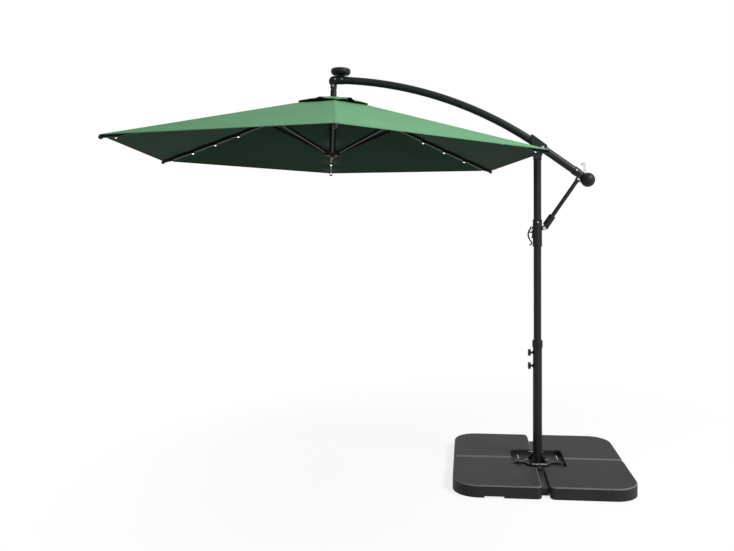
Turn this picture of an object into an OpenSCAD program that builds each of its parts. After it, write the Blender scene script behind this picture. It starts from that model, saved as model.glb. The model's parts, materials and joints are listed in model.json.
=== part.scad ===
// Cantilever garden umbrella: a curved boom hangs a six-ribbed canopy beside a pole
// that stands in a cross foot held down by four ballast plates.
// Millimetres, +Z up. The origin lies on the ground, under the axis of the pole.
// The boom points to -X; its pivots all turn about axes along Y.

/* [Ballast plates] */
// Side of one square ballast plate
plate_side = 500; // [420:5:560]
// Height of a ballast plate
plate_h = 70; // [60:1:100]
// Radius of the outer corner of a plate
plate_corner_r = 145; // [60:5:170]
// Radius of the other upright corners of a plate
plate_inner_r = 32; // [12:1:40]
// Gap between the left and the right pair of plates
plate_gap = 45; // [42:1:60]
// Gap between the front and the rear plate of a pair
plate_seam = 1; // [1:0.5:4]
// Bevel round the top edge of a plate
plate_bevel = 7; // [3:1:12]
// Width of the recess round the foot of the pole, along X
recess_x = 325; // [310:5:400]
// Width of the recess round the foot of the pole, along Y
recess_y = 350; // [310:5:400]
// Corner radius of the recess
recess_r = 45; // [20:5:80]

/* [Cross foot] */
// Width of a cross bar
bar_w = 40; // [34:1:41]
// Height of a cross bar
bar_h = 40; // [32:1:50]
// Wall of a cross bar
bar_wall = 2.5; // [2:0.5:5]
// Length of each cross bar
bar_len = 880; // [760:10:1000]
// Diameter of the round foot flange
flange_d = 165; // [150:5:180]
// Thickness of the foot flange
flange_t = 8; // [6:1:12]
// Distance of the hold-down bolts from the pole axis
tbolt_r = 120; // [115:1:130]
// Distance of the flange nuts from the pole axis
nut_r = 63; // [56:1:70]
// Length of the T handle of a hold-down bolt
tbolt_handle = 88; // [60:2:100]

/* [Pole] */
// Outer diameter of the upper pole
pole_d = 48; // [46:0.5:49]
// Wall of the upper pole
pole_wall = 1.8; // [1.5:0.1:3]
// Outer diameter of the lower tube
tube_d = 57; // [56:0.5:60]
// Wall of the lower tube
tube_wall = 2.5; // [2:0.1:3]
// Height of the top of the lower tube above the ground
tube_top = 775; // [700:5:850]
// Depth to which the upper pole stands in the lower tube
pole_depth = 360; // [250:10:500]
// Outer diameter of the collar on the lower tube
collar_d = 65; // [62:0.5:72]
// Height that the collar stands above the lower tube
collar_h = 30; // [20:1:45]
// Drop from the top of the lower tube to the upper thumb screw
screw_drop_1 = 48; // [40:1:60]
// Drop from the top of the lower tube to the lower thumb screw
screw_drop_2 = 130; // [110:1:160]
// Diameter of a thumb screw's knob
knob_d = 42; // [30:1:50]
// Running clearance on the radius of pins and shafts
run = 0.1; // [0.05:0.01:0.15]

/* [Boom] */
// Height of the boom's pivot above the ground
pivot_z = 2006; // [1980:2:2150]
// Distance of the boom's pivot behind the pole axis
pivot_x = 30; // [26:1:36]
// Outer diameter of the boom tube
boom_d = 48; // [44:0.5:49]
// Wall of the boom tube
boom_wall = 2; // [1.5:0.1:3]
// Bend radius of the curved part of the boom
boom_r = 2350; // [2200:10:2500]
// Angle that the boom's curve sweeps
boom_sweep = 33; // [30:0.5:34]
// Slope of the straight tail of the boom
tail_slope = 35.5; // [34:0.5:37]
// Straight length in front of the boom's pivot
boom_front = 22; // [10:1:40]
// Straight length behind the boom's pivot
boom_back = 268; // [255:1:280]
// Diameter of the winch ball
ball_d = 90; // [84:1:96]
// Gap left between the end of the boom tube and the winch ball's centre
ball_reach = 76; // [72:1:84]

/* [Slider and strut] */
// Height of the strut's lower pivot above the ground
slider_z = 1505; // [1480:5:1540]
// Distance of the strut's lower pivot behind the pole axis
slider_x = 40; // [40:0.5:46]
// Wall of the sliding sleeve
sleeve_wall = 4.7; // [3.5:0.1:5]
// Length of the sleeve above the strut's pivot
sleeve_up = 53; // [40:1:80]
// Length of the sleeve below the strut's pivot
sleeve_down = 114; // [100:1:140]
// Outer diameter of the strut tube
strut_d = 26; // [20:1:27]
// Outer diameter of the strut's socket
socket_d = 44; // [38:1:45]
// Length of the strut's socket, from its pivot
socket_len = 95; // [70:1:130]

/* [Hanger and solar lamp] */
// Distance of the hanger pivot in front of the boom's end
hang_x = 41; // [38:0.5:44]
// Drop of the hanger pivot below the boom's end
hang_z = 38; // [36:0.5:44]
// Outer diameter of the hanger tube
hanger_d = 40; // [37:0.5:42]
// Diameter of the solar lamp
solar_d = 125; // [100:1:150]

/* [Canopy] */
// Radius of the canopy, from its middle to a corner
canopy_r = 1400; // [1250:10:1450]
// Rise of the canopy from the plane of its corners to its crown
canopy_rise = 365; // [345:5:385]
// Drop of the plane of the corners below the hanger pivot
canopy_drop = 446; // [440:1:470]
// Tilt at which the canopy hangs
canopy_tilt = 1.1; // [-2:0.1:3]
// Turn of the canopy on its hanger
canopy_turn = 41.6; // [0:0.2:60]
// Radius of the vent at the top of the canopy
vent_r = 110; // [90:5:130]
// Radius of the cap over the vent
vent_cap_r = 250; // [170:5:280]
// How far the cloth sags between two ribs
cloth_sag = 9; // [0:1:12]
// Thickness of the cloth
cloth_t = 1.2; // [0.8:0.1:1.4]

/* [Ribs and stretchers] */
// Width of a rib
rib_w = 12; // [10:0.5:12.5]
// Height of a rib
rib_h = 20; // [16:0.5:20]
// Radius at which the ribs turn on the top hub
rib_pivot_r = 45; // [44:0.5:50]
// Radius at which the stretchers meet the ribs
stretcher_out_r = 500; // [440:10:600]
// Radius at which the stretchers meet the runner
stretcher_in_r = 40; // [38:0.5:44]
// Height of the runner's pivots above the plane of the corners
runner_z = 20; // [0:2:40]
// Outer diameter of the centre tube
centre_d = 40; // [34:0.5:44]
// Number of lights on each rib
light_count = 4; // [3:1:5]
// Distance between two lights
light_pitch = 200; // [150:5:200]
// Distance of the outermost light from the canopy's middle
light_out_r = 1320; // [1200:10:1330]

/* [Hidden] */
$fn = 48;
SIX = [1:6];
HAIR = 0.3;
EPS = 0.01;
charcoal = "#2b2c2e";
green = "#2f9a57";

// heights in the foot
recess_floor = bar_h - 3;
flange_top = bar_h + flange_t;
plate_edge = plate_gap / 2 + plate_side;
plate_back = plate_seam / 2 + plate_side;
flange_arm = tbolt_r + 22;
flange_arm_w = bar_w - 4;

// fits of the pole
tube_in = tube_d - 2 * tube_wall;
pole_base = tube_top - pole_depth;
sleeve_in = pole_d + 2 * HAIR;
sleeve_d = sleeve_in + 2 * sleeve_wall;
screw_z = [tube_top - screw_drop_1, tube_top - screw_drop_2];
screw_d = 10;
boss_out = tube_d / 2 + 4;
knob_t = 16;
knob_x = boss_out + 10;

// head bracket
boom_gap = 1;
cheek_in = boom_d / 2 + boom_gap;
cheek_t = 5;
bolt_d = 12;
head_top = pivot_z - boom_d / 2 / cos(tail_slope) - 12;
head_low = head_top - 34;

// boom, winch and strut, in the boom's own frame: x runs down the tail, z stands off it
ball_x = boom_back + ball_reach;
ear_x = boom_back + 25;
ear_z = -boom_d / 2 - 9;
ear_in = strut_d / 2 + 1.5;
ear_t = 6;
ball_wall = 4;
cover_y = -12;
cord_d = 4;
drum_r = 12.5;
cord_z = drum_r + cord_d / 2;
shaft_d = 12;
crank_len = 109;
// places of the strut's pivots in the frame of the pole
strut_top = [pivot_x + ear_x * cos(tail_slope) + ear_z * sin(tail_slope),
             pivot_z - ear_x * sin(tail_slope) + ear_z * cos(tail_slope)];
strut_low = [slider_x, slider_z];
strut_len = norm(strut_top - strut_low);
strut_slope = atan2(strut_top[1] - strut_low[1], strut_top[0] - strut_low[0]);
lug_w = 20;
lug_r = 12;
socket_half = lug_w / 2 + 0.5 + 9.5;
lever_x = sleeve_d / 2 + 9;
lever_z = slider_z + 2;
// play of the strut's eye round its bolt, across and along the strut
eye_play = 13;
eye_side = 1.4;

// front end of the boom, in the frame of the pole
end_slope = tail_slope - boom_sweep;
arc_x = pivot_x - boom_front * cos(tail_slope);
arc_z = pivot_z + boom_front * sin(tail_slope);
end_x = arc_x - boom_r * (sin(tail_slope) - sin(end_slope));
end_z = arc_z + boom_r * (cos(end_slope) - cos(tail_slope));
hang = [end_x - hang_x, end_z - hang_z];
leg_x = 38;
leg_y = 26;
pulley_r = 12;
pulley_x = hang[0] + pulley_r + cord_d / 2;
pulley_z = end_z + (end_x - pulley_x) * tan(end_slope);
pulley_run = (end_x - pulley_x) / cos(end_slope);
elbow_d = boom_d + 6;
elbow_back = end_x + 30;
elbow_sag = pow(elbow_back - end_x + 6, 2) / (2 * boom_r);
elbow_front = hang[0] - leg_x / 2 - 9;
lamp_x = end_x + 5;
lamp_z = end_z + elbow_d / 2;
fork_r = 13;
cell_floor = 43;

// canopy, in the hanger's frame: z = 0 is the plane of the corners
canopy_slope = atan(canopy_rise / (canopy_r - 50));
function ridge_z(r) = canopy_rise * (canopy_r - r) / (canopy_r - 50);
rib_drop = (rib_h / 2 + cloth_t + 1.7) / cos(canopy_slope);
rib_pivot_z = ridge_z(rib_pivot_r) - rib_drop;
rib_len = (canopy_r - 8 - rib_pivot_r) / cos(canopy_slope);
rib_wall = 1.2;
tip_d = 24;
pin_d = 5;
stretcher_out_z = rib_pivot_z - (stretcher_out_r - rib_pivot_r) * tan(canopy_slope);
stretcher_rise = stretcher_out_z - runner_z;
stretcher_len = norm([stretcher_out_r - stretcher_in_r, stretcher_rise]);
stretcher_slope = atan2(stretcher_rise, stretcher_out_r - stretcher_in_r);
stretcher_w = 12;
stretcher_h = 16;
strap_t = 2;
strap_len = 125;
hub_r = 60;
hub_low = rib_pivot_z - 26;
hub_top = rib_pivot_z + 15;
hanger_low = hub_top - 22;
runner_r = stretcher_in_r + 12;
runner_low = runner_z - 20;
runner_top = runner_z + 14;
cord_bore = 12;
light_d = 30;
light_t = 8;
cap_z = hub_top + HAIR;

// ---------- helpers ----------

// a round bar or bore along Y, centred
module along_y(d, len) {
    rotate([90, 0, 0]) cylinder(d = d, h = len, center = true);
}

// a round bar or bore along X, from x = 0
module along_x(d, len) {
    rotate([0, 90, 0]) cylinder(d = d, h = len);
}

// a box given by its two corners
module block(low, high) {
    translate(low) cube(high - low);
}

// the frame of the boom: x down the tail from the pivot
module boom_frame() {
    translate([pivot_x, 0, pivot_z]) rotate([0, tail_slope, 0]) children();
}

// the frame of the strut: x up the strut from its lower pivot
module strut_frame() {
    translate([strut_low[0], 0, strut_low[1]]) rotate([0, -strut_slope, 0]) children();
}

// the frame of the canopy: z up the hanger from the plane of the corners
module hanger_frame() {
    translate([hang[0], 0, hang[1]]) rotate([0, canopy_tilt, 0])
        translate([0, 0, -canopy_drop]) children();
}

// the vertical plane of one rib: x outwards
module spoke(i) {
    hanger_frame() rotate([0, 0, canopy_turn + 60 * i]) children();
}

// the frame of one rib: x down the rib from its pivot
module rib_frame(i) {
    spoke(i) translate([rib_pivot_r, 0, rib_pivot_z]) rotate([0, canopy_slope, 0]) children();
}

// the frame of one stretcher: x inwards from its outer pivot, z on its under side
module stretcher_frame(i) {
    spoke(i) translate([stretcher_out_r, 0, stretcher_out_z])
        rotate([0, 180 - stretcher_slope, 0]) children();
}

// part of a ring in the XZ plane, w wide along Y
module ring_arc(centre, r, t, from, sweep, w) {
    translate([centre[0], 0, centre[1]]) rotate([90, 0, 0]) rotate([0, 0, from])
        rotate_extrude(angle = sweep) translate([r - t / 2, -w / 2]) square([t, w]);
}

// a bolt along Y with a round head at -y and a nut at +y
module cross_bolt(d, head_d, grip, head_t = 5) {
    along_y(d, grip + 2 * head_t);
    for (s = [-1, 1])
        translate([0, s * (grip + head_t) / 2, 0]) along_y(head_d, head_t);
}

// ---------- foot ----------

// a cross bar along X: a box tube with closed ends, lap-cut over half its height in the middle
module cross_bar(keep_top) {
    lap = bar_w / 2 + HAIR;
    half = bar_h / 2 - HAIR / 2;
    difference() {
        block([-bar_len / 2, -bar_w / 2, 0], [bar_len / 2, bar_w / 2, bar_h]);
        for (s = [-1, 1])
            translate([s > 0 ? lap + bar_wall : -bar_len / 2 + bar_wall, -bar_w / 2 + bar_wall, bar_wall])
                cube([bar_len / 2 - lap - 2 * bar_wall, bar_w - 2 * bar_wall, bar_h - 2 * bar_wall]);
        block([-lap, -bar_w, keep_top ? -1 : half], [lap, bar_w, keep_top ? bar_h - half : bar_h + 1]);
        for (r = [nut_r, tbolt_r], s = [-1, 1])
            translate([s * r, 0, bar_h - bar_wall - 1]) cylinder(d = 10 + 2 * run, h = bar_wall + 2);
    }
}

module cross_bar_side() {
    color(charcoal) cross_bar(true);
}

module cross_bar_front() {
    color(charcoal) rotate([0, 0, 90]) cross_bar(false);
}

// the rounded corners of one plate in its quarter; the hull of them is the plate's outline
module plate_corners(inset) {
    x0 = plate_gap / 2;
    y0 = plate_seam / 2;
    for (c = [[x0, y0, 1, 1, plate_inner_r], [x0, plate_back, 1, -1, plate_inner_r],
              [plate_edge, y0, -1, 1, plate_inner_r], [plate_edge, plate_back, -1, -1, plate_corner_r]])
        translate([c[0] + c[2] * c[4], c[1] + c[3] * c[4]]) circle(r = c[4] - inset);
}

// one plate in the quarter x > 0, y > 0; its grip notch is cut under the edge that
// faces y, or under the edge that faces x
module ballast(grip_y) {
    grip_w = 110;
    grip_at = plate_side * 0.42;
    color("#3a3b3c") difference() {
        hull() {
            linear_extrude(plate_h - plate_bevel) plate_corners(0);
            linear_extrude(plate_h) plate_corners(plate_bevel);
        }
        // the recess round the foot of the pole
        translate([0, 0, recess_floor]) linear_extrude(plate_h) {
            square([recess_x / 2 - recess_r, recess_y / 2]);
            square([recess_x / 2, recess_y / 2 - recess_r]);
            translate([recess_x / 2 - recess_r, recess_y / 2 - recess_r]) circle(r = recess_r);
        }
        // the channel that straddles the side bar
        block([-1, -1, -1], [bar_len / 2 + 14, bar_w / 2 + HAIR, bar_h + HAIR]);
        // room for the foot flange
        translate([0, 0, bar_h - 1.5]) cylinder(d = flange_d + 8, h = plate_h);
        block([-1, -1, bar_h - 1.5], [flange_arm + 6, flange_arm_w / 2 + 4, plate_h + 1]);
        // grip notch under an outer edge
        if (grip_y) block([plate_gap / 2 + grip_at, plate_back - 30, -1],
                          [plate_gap / 2 + grip_at + grip_w, plate_back + 1, 9]);
        else block([plate_edge - 30, grip_at, -1], [plate_edge + 1, grip_at + grip_w, 9]);
    }
}

module ballast_front_left() {
    mirror([1, 0, 0]) mirror([0, 1, 0]) ballast(true);
}

module ballast_front_right() {
    mirror([0, 1, 0]) ballast(false);
}

module ballast_rear_left() {
    mirror([1, 0, 0]) ballast(false);
}

module ballast_rear_right() {
    ballast(true);
}

// one T-handled bolt that clamps the flange to a bar; its handle lies along Y
module tbolt() {
    stem_top = flange_top + 24;
    translate([0, 0, bar_h - 12]) cylinder(d = 10, h = stem_top - bar_h + 12);
    translate([0, 0, flange_top]) cylinder(d = 20, h = 3);
    translate([0, 0, stem_top - 4]) along_y(9, tbolt_handle);
}

// one hexagon nut on its stud
module foot_nut() {
    translate([0, 0, bar_h - 10]) cylinder(d = 10, h = flange_t + 22);
    translate([0, 0, flange_top]) cylinder(d = 19, h = 9, $fn = 6);
}

module foot_bolts() {
    color("silver") for (i = [0:3]) rotate([0, 0, 90 * i]) {
        translate([tbolt_r, 0, 0]) tbolt();
        translate([nut_r, 0, 0]) foot_nut();
    }
}

module lower_tube() {
    stop_t = 12;
    color(charcoal) difference() {
        union() {
            translate([0, 0, bar_h]) cylinder(d = flange_d, h = flange_t);
            for (i = [0:1]) rotate([0, 0, 90 * i])
                block([-flange_arm, -flange_arm_w / 2, bar_h], [flange_arm, flange_arm_w / 2, flange_top]);
            translate([0, 0, bar_h]) cylinder(d = tube_d, h = tube_top - bar_h);
            // four gussets between the flange and the tube
            for (i = [0:3]) rotate([90, 0, 45 + 90 * i]) translate([0, 0, -2.5])
                linear_extrude(5) polygon([[tube_d / 2 - 2, flange_top - 1], [flange_d / 2 - 8, flange_top - 1],
                    [flange_d / 2 - 8, flange_top + 4], [tube_d / 2 - 2, flange_top + 55]]);
            // bosses for the two thumb screws
            for (z = screw_z) translate([-boss_out, 0, z]) along_x(22, boss_out - tube_in / 2 - 1);
        }
        difference() {
            translate([0, 0, flange_top]) cylinder(d = tube_in, h = tube_top);
            // stop ring that carries the upper pole
            translate([0, 0, pole_base - HAIR - stop_t]) difference() {
                cylinder(d = tube_in + 2, h = stop_t);
                translate([0, 0, -1]) cylinder(d = tube_in - 10, h = stop_t + 2);
            }
        }
        for (z = screw_z) translate([-boss_out - 1, 0, z]) along_x(screw_d + 2 * run, boss_out);
        for (i = [0:3]) rotate([0, 0, 90 * i]) for (r = [nut_r, tbolt_r])
            translate([r, 0, bar_h - 1]) cylinder(d = 10 + 2 * run, h = flange_t + 2);
    }
}

module tube_collar() {
    lap = 14;
    color("#222325") difference() {
        translate([0, 0, tube_top - lap]) cylinder(d = collar_d, h = lap + collar_h);
        translate([0, 0, tube_top - lap - 1]) cylinder(d = tube_d + 2 * run, h = lap + 1);
        translate([0, 0, tube_top - 1]) cylinder(d = pole_d + 2 * HAIR, h = collar_h + 2);
        translate([0, 0, tube_top + collar_h - 5])
            difference() {
                cylinder(d = collar_d + 4, h = 6);
                translate([0, 0, -1]) cylinder(d1 = collar_d + 4, d2 = collar_d - 8, h = 8);
            }
    }
}

// a screw along X whose tip presses on the upper pole, with a fluted knob
module thumb_screw(z) {
    flutes = 8;
    tip = pole_d / 2 + HAIR;
    color("#1d1e20") translate([0, 0, z]) {
        translate([-knob_x, 0, 0]) along_x(screw_d, knob_x - tip);
        difference() {
            translate([-knob_x - knob_t, 0, 0]) along_x(knob_d, knob_t);
            for (i = [0:flutes - 1]) rotate([360 / flutes * i, 0, 0])
                translate([-knob_x - knob_t - 1, 0, knob_d / 2 + 2]) along_x(11, knob_t + 2);
        }
        translate([-knob_x, 0, 0]) along_x(18, 5);
    }
}

module thumb_screw_upper() {
    thumb_screw(screw_z[0]);
}

module thumb_screw_lower() {
    thumb_screw(screw_z[1]);
}

// ---------- pole ----------

module upper_pole() {
    color(charcoal) translate([0, 0, pole_base]) difference() {
        cylinder(d = pole_d, h = head_top - 4 - pole_base);
        translate([0, 0, -1]) cylinder(d = pole_d - 2 * pole_wall, h = head_top + 2 - pole_base);
    }
}

// height of a line that runs beside the boom's straight axis, off it by so much
function beside_boom(x, off) = pivot_z + (pivot_x - x) * tan(tail_slope) + off / cos(tail_slope);

// outline of a cheek of the head, seen from the side: an arm along the boom and a leg
// down the pole
module cheek_outline() {
    left = -pole_d / 2 - 16;
    right = pivot_x + 26;
    over = boom_d / 2 + 5;
    polygon([[left, beside_boom(left, over)], [left + 6, beside_boom(left + 6, over + 2)],
        [right, beside_boom(right, over)], [right + 3, beside_boom(right + 3, over - 5)],
        [right - 22, beside_boom(right - 22, -boom_d / 2 - 4)], [27, beside_boom(27, -boom_d / 2 - 5)],
        [27, head_top - 4], [20, head_low + 6], [-20, head_low + 6], [-27, head_top - 4],
        [-27, beside_boom(-27, -boom_d / 2 - 4)], [left, beside_boom(left, -boom_d / 2 + 16)]]);
}

module pole_head() {
    color(charcoal) difference() {
        union() {
            translate([0, 0, head_low]) cylinder(d = pole_d + 4, h = head_top - head_low);
            for (s = [-1, 1]) translate([0, s * (cheek_in + cheek_t / 2) + cheek_t / 2, 0])
                rotate([90, 0, 0]) linear_extrude(cheek_t) cheek_outline();
            // end plate that ties the cheeks over the pole
            block([-22, -cheek_in - 1, head_top - 4], [22, cheek_in + 1, head_top]);
        }
        translate([0, 0, head_low - 1]) cylinder(d = pole_d + 2 * run, h = head_top - 4 - head_low + 1);
        boom_frame() along_y(bolt_d + 2 * run, 2 * (cheek_in + cheek_t) + 4);
    }
}

module head_bolt() {
    color("silver") boom_frame() cross_bolt(bolt_d, 20, 2 * (cheek_in + cheek_t));
}

// ---------- slider ----------

module slider_sleeve() {
    z0 = slider_z - sleeve_down;
    z1 = slider_z + sleeve_up;
    color(charcoal) difference() {
        union() {
            translate([0, 0, z0]) cylinder(d = sleeve_d, h = z1 - z0);
            // lug for the strut
            translate([slider_x, 0, slider_z]) along_y(2 * lug_r, lug_w);
            block([0, -lug_w / 2, slider_z - lug_r], [slider_x, lug_w / 2, slider_z + lug_r]);
            // ears for the lever
            for (s = [-1, 1]) translate([0, s * 10, lever_z]) {
                block([-lever_x, -2, -9], [0, 2, 9]);
                translate([-lever_x, 0, 0]) along_y(18, 4);
            }
            // pad round the locking pin, with a lip under it
            block([-sleeve_d / 2 - 5, -11, lever_z - 64], [0, 11, lever_z - 13]);
            block([-sleeve_d / 2 - 10, -6, lever_z - 64], [0, 6, lever_z - 57]);
            // beads at both ends
            translate([0, 0, z0]) cylinder(d = sleeve_d + 3, h = 8);
            translate([0, 0, z1 - 8]) cylinder(d = sleeve_d + 3, h = 8);
        }
        translate([0, 0, z0 - 1]) cylinder(d = sleeve_in, h = z1 - z0 + 2);
        translate([slider_x, 0, slider_z]) along_y(10 + 2 * run, lug_w + 2);
        translate([-lever_x, 0, lever_z]) along_y(6 + 2 * run, 40);
        // window of the locking pin
        block([-sleeve_d, -5.5, lever_z - 36], [0, 5.5, lever_z - 19]);
        // hole of the guide screw
        translate([0, -sleeve_d / 2, z1 - 16]) along_y(6 + 2 * run, sleeve_d);
    }
}

// the strut's pivot bolt, the lever's pin, the guide screw and the lever's two coil springs
module slider_hardware() {
    guide_z = slider_z + sleeve_up - 16;
    color("silver") {
        translate([slider_x, 0, slider_z]) cross_bolt(10, 17, 2 * socket_half, 4);
        translate([-lever_x, 0, lever_z]) {
            cross_bolt(6, 10, 24, 2);
            for (s = [-1, 1]) translate([0, s * 6.3, 0]) difference() {
                along_y(12, 2.6);
                along_y(9, 3);
            }
        }
        translate([0, -sleeve_d / 2 - 2.2, guide_z]) along_y(6, 5);
        translate([0, -sleeve_d / 2 - 3.5, guide_z]) along_y(10, 3);
    }
}

// a curved lever: it swings outwards from its pin and draws the locking pin off the pole
module brake_lever() {
    w = 9;
    r = 54.7;
    t = 9;
    a0 = 130.6;
    a1 = 213;
    mid = [-lever_x - r * cos(a0), lever_z - r * sin(a0)];
    bend = mid + r * [cos(a1), sin(a1)];
    straight = 20;
    hook = bend + straight * [-sin(a1), cos(a1)];
    hook_r = 12;
    curl = hook + hook_r * [cos(a1), sin(a1)];
    color("#1d1e20") difference() {
        union() {
            translate([-lever_x, 0, lever_z]) along_y(16, w);
            ring_arc(mid, r, t, a0, a1 - a0, w);
            translate([bend[0], 0, bend[1]]) rotate([0, 270 - a1, 0])
                block([-1, -w / 2, -t / 2], [straight + 1, w / 2, t / 2 - 1]);
            ring_arc(curl, hook_r, 8, a1 - 180 - 135, 136, w);
            // the locking pin
            translate([-55, 0, lever_z - 27]) along_x(9, 55 - pole_d / 2 - HAIR);
        }
        translate([-lever_x, 0, lever_z]) along_y(6 + 2 * run, w + 2);
    }
}

// the upper eye is long across the strut, so that the bolt finds play as the boom swings
module strut_tube() {
    color(charcoal) strut_frame() difference() {
        union() {
            translate([socket_len - 40, 0, 0]) along_x(strut_d, strut_len - socket_len + 30);
            for (z = [0, eye_play]) translate([strut_len, 0, -z]) along_y(22, strut_d - 4);
            block([strut_len - 11, -strut_d / 2 + 2, -eye_play], [strut_len + 11, strut_d / 2 - 2, 0]);
        }
        translate([socket_len - 41, 0, 0]) along_x(strut_d - 4, strut_len - socket_len + 16);
        for (z = [0, eye_play]) translate([strut_len, 0, -z]) along_y(8 + 2 * eye_side, strut_d + 2);
        block([strut_len - 4 - eye_side, -strut_d, -eye_play], [strut_len + 4 + eye_side, strut_d, 0]);
    }
}

module strut_socket() {
    neck = 20;
    color("#222325") strut_frame() difference() {
        union() {
            translate([neck, 0, 0]) along_x(socket_d, socket_len - neck);
            for (s = [-1, 1]) translate([0, s * (socket_half - 4.75), 0]) {
                along_y(24, 9.5);
                translate([14, 0, -8]) along_y(28, 9.5);
                block([0, -4.75, -12], [neck + 1, 4.75, 12]);
            }
        }
        translate([socket_len - 40 - HAIR, 0, 0]) along_x(strut_d + 2 * run, socket_len);
        along_y(10 + 2 * run, 2 * socket_half + 2);
        // chamfer round the socket's mouth
        translate([socket_len - 5, 0, 0]) rotate([0, 90, 0]) difference() {
            cylinder(d = socket_d + 4, h = 6);
            translate([0, 0, -1]) cylinder(d1 = socket_d + 2, d2 = socket_d - 8, h = 8);
        }
    }
}

// ---------- boom ----------

module boom_tube() {
    color(charcoal) boom_frame() difference() {
        union() {
            translate([-boom_front, 0, 0]) difference() {
                along_x(boom_d, boom_front + boom_back);
                translate([-1, 0, 0]) along_x(boom_d - 2 * boom_wall, boom_front + boom_back + 2);
            }
            translate([-boom_front, 0, -boom_r]) rotate([90, 0, 0]) rotate([0, 0, 90])
                rotate_extrude(angle = boom_sweep, $fn = 96) translate([boom_r, 0]) difference() {
                    circle(d = boom_d);
                    circle(d = boom_d - 2 * boom_wall);
                }
        }
        along_y(bolt_d + 2 * run, boom_d + 2);
        translate([boom_back - 16, 0, 7]) along_y(8 + 2 * run, boom_d + 2);
    }
}

// the ball of the winch about its own axis, from y0 to y1
module winch_ball(d, y0, y1) {
    rotate([-90, 0, 0]) rotate_extrude($fn = 96) intersection() {
        circle(d = d);
        translate([0, y0]) square([d, y1 - y0]);
    }
}

// the ball of the winch, its neck, its socket on the boom and the ears for the strut
module winch_housing() {
    socket = 33;
    ear_r = 15;
    color("#222325") boom_frame() difference() {
        union() {
            translate([boom_back - socket, 0, 0]) along_x(boom_d + 6, socket + 12);
            translate([boom_back, 0, 0]) along_x(boom_d, ball_x - boom_back - 20);
            translate([ball_x, 0, 0]) winch_ball(ball_d, cover_y, ball_d);
            for (s = [-1, 1]) translate([ear_x, s * (ear_in + ear_t / 2), 0]) {
                translate([0, 0, ear_z]) along_y(2 * ear_r, ear_t);
                block([-ear_r, -ear_t / 2, ear_z], [ear_r, ear_t / 2, 0]);
                block([-ear_r - 24, -ear_t / 2, ear_z + 12], [ear_r, ear_t / 2, 0]);
            }
        }
        // seat of the boom tube
        translate([boom_back - socket - 1, 0, 0]) along_x(boom_d + 2 * run, socket + 1);
        // way of the cord and the room of the drum
        translate([boom_back - 1, 0, cord_z]) along_x(12, ball_reach);
        translate([ball_x, 0, 0]) winch_ball(ball_d - 2 * ball_wall, cover_y - 1, ball_d);
        // slot of the strut's eye
        translate([ear_x, 0, ear_z]) along_y(50, 2 * ear_in);
        block([ear_x - 60, -ear_in, ear_z - 30], [ear_x + 25, ear_in, ear_z + 2]);
        translate([ear_x, 0, ear_z]) along_y(8 + 2 * run, 60);
        translate([boom_back - 16, 0, 7]) along_y(8 + 2 * run, boom_d + 20);
        // room of the cover
        block([ball_x - ball_d / 2 - 4, -ball_d, -ball_d], [ball_x + ball_d, cover_y, ball_d]);
        // bearing of the drum's shaft
        translate([ball_x, ball_d / 2, 0]) along_y(shaft_d + 2 * run, 20);
    }
}

module winch_cover() {
    color("#222325") boom_frame() translate([ball_x, 0, 0]) difference() {
        winch_ball(ball_d, -ball_d, cover_y - HAIR);
        winch_ball(ball_d - 2 * ball_wall, -ball_d, cover_y + 1);
    }
}

// the strut's bolt, the socket's two stub bolts, the hanger's two stub bolts
// and the elbow's two screws
module boom_bolts() {
    color("silver") {
        boom_frame() {
            translate([ear_x, 0, ear_z]) cross_bolt(8, 13, 2 * (ear_in + ear_t), 4);
            for (s = [-1, 1]) translate([boom_back - 16, s * (boom_d / 2 + 2), 7]) {
                along_y(8, 9);
                translate([0, s * 3.8, 0]) along_y(11, 3);
            }
        }
        for (s = [-1, 1]) translate([hang[0], s * (hanger_d / 2 - 3), hang[1]]) {
            along_y(10, hanger_d / 2 - leg_y / 2 + 8);
            translate([0, s * 7, 0]) along_y(15, 4);
        }
        for (x = [end_x - 26, end_x + 18]) translate([x, -elbow_d / 2, end_z + 2]) {
            along_y(10, 5);
        }
    }
}

module elbow_fitting() {
    color("#222325") difference() {
        union() {
            translate([elbow_front + elbow_d / 2, 0, end_z]) {
                sphere(d = elbow_d, $fn = 64);
                along_x(elbow_d, elbow_back - elbow_front - elbow_d / 2);
            }
            block([hang[0] - leg_x / 2, -leg_y / 2, hang[1] - 16],
                  [hang[0] + leg_x / 2, leg_y / 2, end_z]);
            translate([elbow_front + 2, -elbow_d / 2 + 4, hang[1] + fork_r + 2])
                cube([leg_x + 10, elbow_d - 8, end_z - hang[1] - fork_r]);
            translate([lamp_x, 0, end_z]) cylinder(d = 40, h = elbow_d / 2 + 4);
        }
        // seat of the boom tube, with room for the fall of its curve
        translate([end_x, 0, end_z]) rotate([0, end_slope, 0]) translate([0, 0, -elbow_sag / 2])
            along_x(boom_d + 2 * run + elbow_sag, 60);
        // room of the pulley and the way of the cord
        translate([pulley_x, 0, pulley_z]) along_y(2 * pulley_r + 14, 12);
        block([hang[0] - 6, -6, hang[1] - 30], [hang[0] + 8, 6, pulley_z]);
        translate([pulley_x, 0, pulley_z]) rotate([0, end_slope, 0])
            block([0, -6, -6], [60, 6, pulley_r + 8]);
        translate([hang[0], 0, hang[1]]) along_y(10 + 2 * run, 60);
        translate([pulley_x, 0, pulley_z]) along_y(6 + 2 * run, elbow_d - 12);
        for (x = [end_x - 26, end_x + 18])
            translate([x, -elbow_d / 2, end_z + 2]) along_y(10 + 2 * run, 5 + 2 * HAIR);
    }
}

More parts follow.
